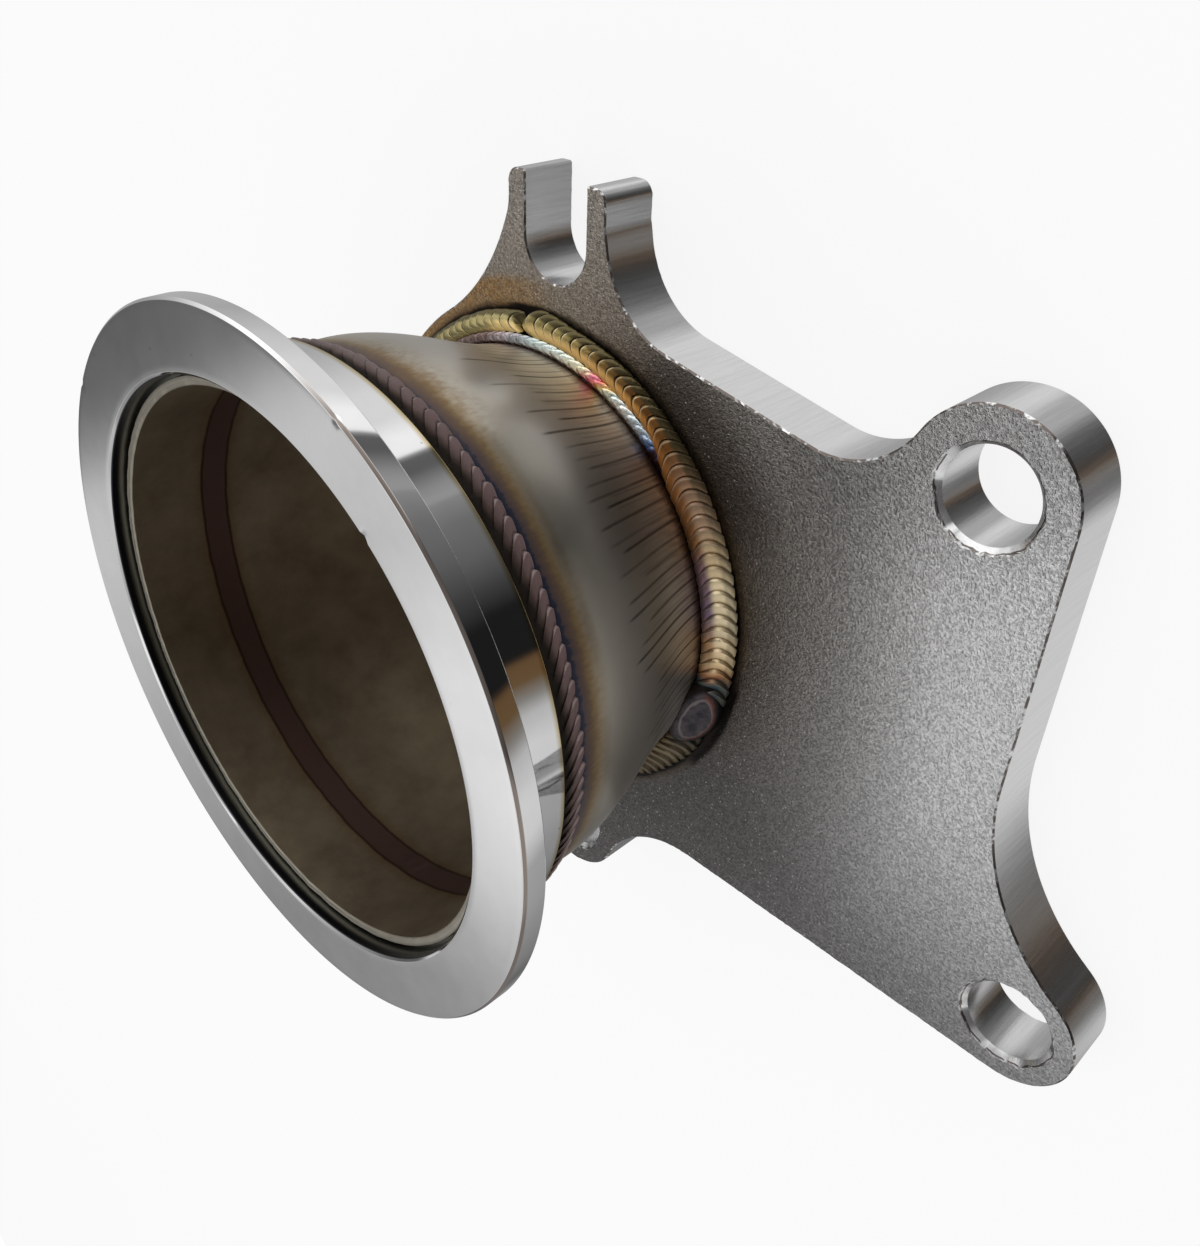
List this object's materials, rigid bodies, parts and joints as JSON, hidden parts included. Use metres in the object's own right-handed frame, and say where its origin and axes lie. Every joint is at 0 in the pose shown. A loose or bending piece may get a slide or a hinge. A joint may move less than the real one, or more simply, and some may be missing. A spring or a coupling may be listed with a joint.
{
  "type": "turbo flange adapter",
  "caption": "Welded exhaust adapter: lugged turbine flange plate, short reducing cone of thin stainless tube and a V-band flange, joined by stepped fillet welds.",
  "frame": {"origin": "centre of the exhaust port in the face that bolts to the turbine", "axes": "+Z along the tube axis to the V-band face, +X towards the two outer lugs, +Y towards the open slot"},
  "size_m": [0.1284, 0.1144, 0.0558],
  "materials": {
    "plate_steel": "rolled plate with a fine pebbled face, cut edges and heat tint near the weld",
    "tube_steel": "satin thin tube, olive and brown heat tint inside",
    "turned_steel": "turned face, polished rim and neck",
    "rope_weld": "rope bead with brown and navy heat colours",
    "root_weld": "bright bead with straw, pink and blue heat colours",
    "cap_weld": "stepped beads, gold and bronze"
  },
  "bodies": {
    "root": {"flange_plate": "plate_steel", "transition_cone": "tube_steel", "v_band_flange": "turned_steel", "v_band_weld": "rope_weld", "plate_root_weld": "root_weld", "plate_weld_right": "cap_weld", "plate_weld_lower": "cap_weld", "plate_weld_left": "cap_weld"}
  },
  "joints": []
}
